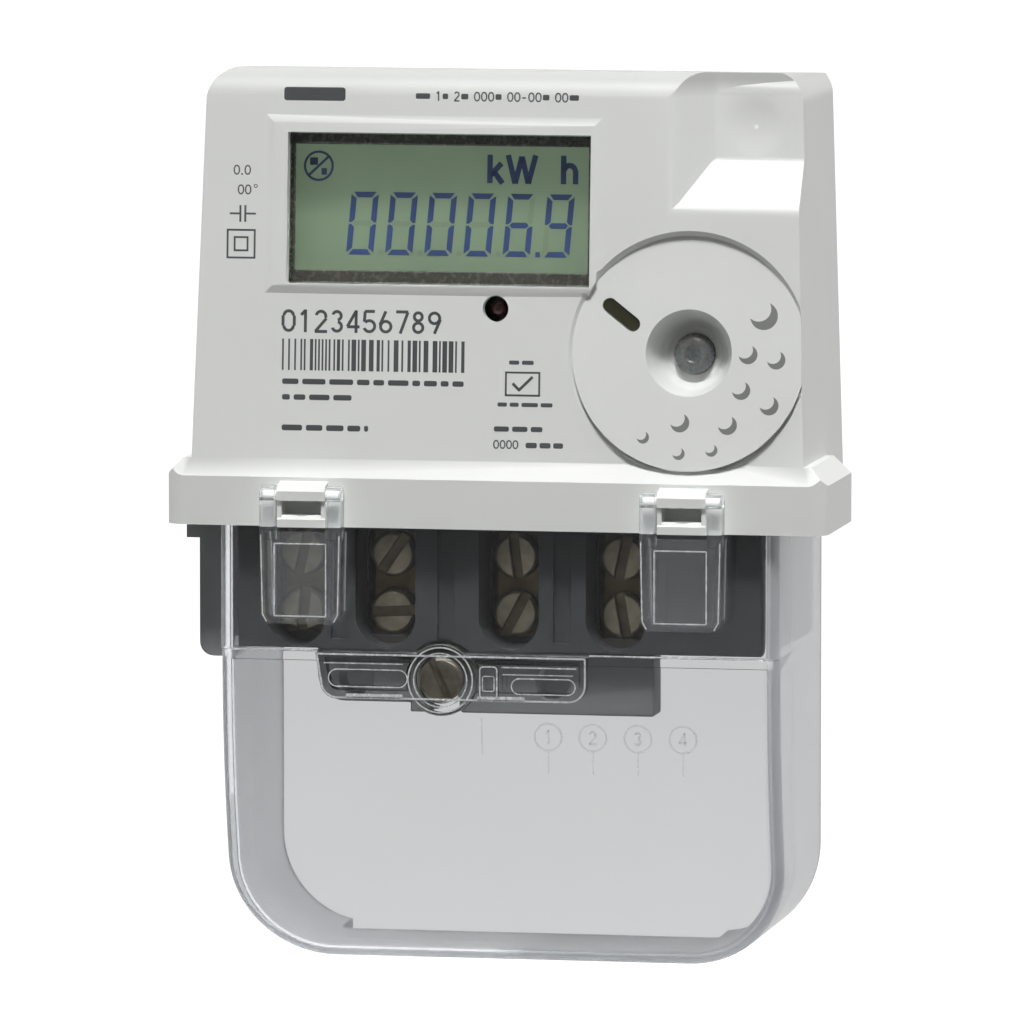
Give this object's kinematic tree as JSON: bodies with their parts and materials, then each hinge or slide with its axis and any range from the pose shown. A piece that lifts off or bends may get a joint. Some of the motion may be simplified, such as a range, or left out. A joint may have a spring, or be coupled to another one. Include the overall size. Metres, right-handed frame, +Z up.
{
  "type": "single-phase electricity meter",
  "caption": "Wall-mounted static electricity meter: display and button in a white case, screw terminals under a clear sealable terminal cover.",
  "frame": {"origin": "on the back face that lies on the wall, on the centre line, level with the lower edge of the flange", "axes": "+X to the right of someone facing the meter, +Y into the wall, +Z up"},
  "size_m": [0.12, 0.054, 0.161],
  "materials": {
    "white_housing": "fine satin moulded polycarbonate",
    "dark_housing": "satin dark grey moulded plastic",
    "clear_cover_plastic": "polished clear polycarbonate",
    "clear_lens": "polished clear polycarbonate",
    "display_glass": "grey-green reflective display glass",
    "display_bezel": "dark olive gloss",
    "diffuser": "milky diffuser",
    "contact_rubber": "layered conductive rubber",
    "tinted_window": "dark tinted gloss",
    "lamp_epoxy": "tinted epoxy",
    "button_translucent": "translucent grey",
    "plunger_plastic": "moulded",
    "terminal_brass": "machined, nickel flash",
    "screw_steel": "nickel plated, slightly tarnished",
    "zinc_steel": "bright zinc",
    "shunt_alloy": "bare resistance alloy",
    "link_copper": "bare copper",
    "red_insulation": "sleeve",
    "black_insulation": "sleeve",
    "gasket_rubber": "matte",
    "washer_nylon": "natural nylon",
    "board_laminate": "solder mask",
    "chip_epoxy": "moulded",
    "chip_ceramic": "ceramic",
    "capacitor_case": "moulded case",
    "capacitor_sleeve": "shrink sleeve",
    "varistor_coat": "dipped coat"
  },
  "bodies": {
    "root": {"rear_base": "dark_housing", "terminal_block": "dark_housing", "lower_panel": "dark_housing", "line_in_terminal": "terminal_brass", "line_out_terminal": "terminal_brass", "neutral_in_terminal": "terminal_brass", "neutral_out_terminal": "terminal_brass", "current_shunt": "shunt_alloy", "shunt_leads": "red_insulation", "neutral_link": "link_copper", "neutral_lead": "black_insulation", "main_cover": "white_housing", "cover_gasket": "gasket_rubber", "case_screws": "zinc_steel", "block_screws": "zinc_steel", "display_window": "clear_lens", "lcd_frame": "display_bezel", "lcd_glass": "display_glass", "lcd_contact_strips": "contact_rubber", "backlight_plate": "diffuser", "indicator_window": "tinted_window", "indicator_leds": "lamp_epoxy", "pulse_led": "lamp_epoxy", "main_pcb": "board_laminate", "pcb_screws": "zinc_steel", "metering_chips": "chip_epoxy", "smd_parts": "chip_ceramic", "clock_crystal": "zinc_steel", "dropper_capacitor": "capacitor_case", "filter_capacitors": "capacitor_sleeve", "surge_varistor": "varistor_coat", "backup_battery": "zinc_steel", "tact_switch": "chip_epoxy"},
    "scroll_button": {"scroll_button": "button_translucent"},
    "switch_plunger": {"switch_plunger": "plunger_plastic"},
    "seal_latch_left": {"seal_latch_left": "clear_cover_plastic"},
    "seal_latch_right": {"seal_latch_right": "clear_cover_plastic"},
    "terminal_cover": {"terminal_cover": "clear_cover_plastic", "cover_screw_nut": "zinc_steel"},
    "cover_screw": {"cover_screw": "screw_steel", "cover_screw_washer": "washer_nylon"},
    "screw_1_upper": {"screw_1_upper": "screw_steel"},
    "screw_1_lower": {"screw_1_lower": "screw_steel"},
    "screw_2_upper": {"screw_2_upper": "screw_steel"},
    "screw_2_lower": {"screw_2_lower": "screw_steel"},
    "screw_3_upper": {"screw_3_upper": "screw_steel"},
    "screw_3_lower": {"screw_3_lower": "screw_steel"},
    "screw_4_upper": {"screw_4_upper": "screw_steel"},
    "screw_4_lower": {"screw_4_lower": "screw_steel"}
  },
  "joints": [
    {"name": "button_press", "type": "slide", "parent": "root", "child": "scroll_button", "axis": [0, 0.9975, -0.0705], "range_m": [0, 0.0008], "stiffness_N_per_m": 900, "springref_m": -0.0002},
    {"name": "plunger_press", "type": "slide", "parent": "root", "child": "switch_plunger", "axis": [0, 0.9975, -0.0705], "range_m": [0, 0.0008], "stiffness_N_per_m": 200, "springref_m": -0.0002},
    {"name": "latch_left_hinge", "type": "hinge", "parent": "root", "child": "seal_latch_left", "pos_m": [-0.0345, -0.0522, 0.0058], "axis": [-1, 0, 0], "range_deg": [0, 100]},
    {"name": "latch_right_hinge", "type": "hinge", "parent": "root", "child": "seal_latch_right", "pos_m": [0.0345, -0.0522, 0.0058], "axis": [-1, 0, 0], "range_deg": [0, 100]},
    {"name": "cover_slide", "type": "slide", "parent": "root", "child": "terminal_cover", "axis": [0, 0, -1], "range_m": [0, 0.045]},
    {"name": "cover_screw_turn", "type": "hinge", "parent": "terminal_cover", "child": "cover_screw", "pos_m": [-0.0102, -0.045, -0.0274], "axis": [0, -1, 0], "range_deg": [0, 1440]},
    {"name": "screw_1_upper_turn", "type": "hinge", "parent": "root", "child": "screw_1_upper", "pos_m": [-0.037, -0.035, -0.0058], "axis": [0, -1, 0], "range_deg": [-1800, 0]},
    {"name": "screw_1_lower_turn", "type": "hinge", "parent": "root", "child": "screw_1_lower", "pos_m": [-0.037, -0.035, -0.0161], "axis": [0, -1, 0], "range_deg": [-1800, 0]},
    {"name": "screw_2_upper_turn", "type": "hinge", "parent": "root", "child": "screw_2_upper", "pos_m": [-0.0207, -0.035, -0.0058], "axis": [0, -1, 0], "range_deg": [-1800, 0]},
    {"name": "screw_2_lower_turn", "type": "hinge", "parent": "root", "child": "screw_2_lower", "pos_m": [-0.0207, -0.035, -0.0161], "axis": [0, -1, 0], "range_deg": [-1800, 0]},
    {"name": "screw_3_upper_turn", "type": "hinge", "parent": "root", "child": "screw_3_upper", "pos_m": [0.0018, -0.035, -0.0058], "axis": [0, -1, 0], "range_deg": [-1800, 0]},
    {"name": "screw_3_lower_turn", "type": "hinge", "parent": "root", "child": "screw_3_lower", "pos_m": [0.0018, -0.035, -0.0161], "axis": [0, -1, 0], "range_deg": [-1800, 0]},
    {"name": "screw_4_upper_turn", "type": "hinge", "parent": "root", "child": "screw_4_upper", "pos_m": [0.0213, -0.035, -0.0058], "axis": [0, -1, 0], "range_deg": [-1800, 0]},
    {"name": "screw_4_lower_turn", "type": "hinge", "parent": "root", "child": "screw_4_lower", "pos_m": [0.0213, -0.035, -0.0161], "axis": [0, -1, 0], "range_deg": [-1800, 0]}
  ],
  "couplings": [
    {"joint": "plunger_press", "follows": "button_press", "ratio": 1}
  ]
}
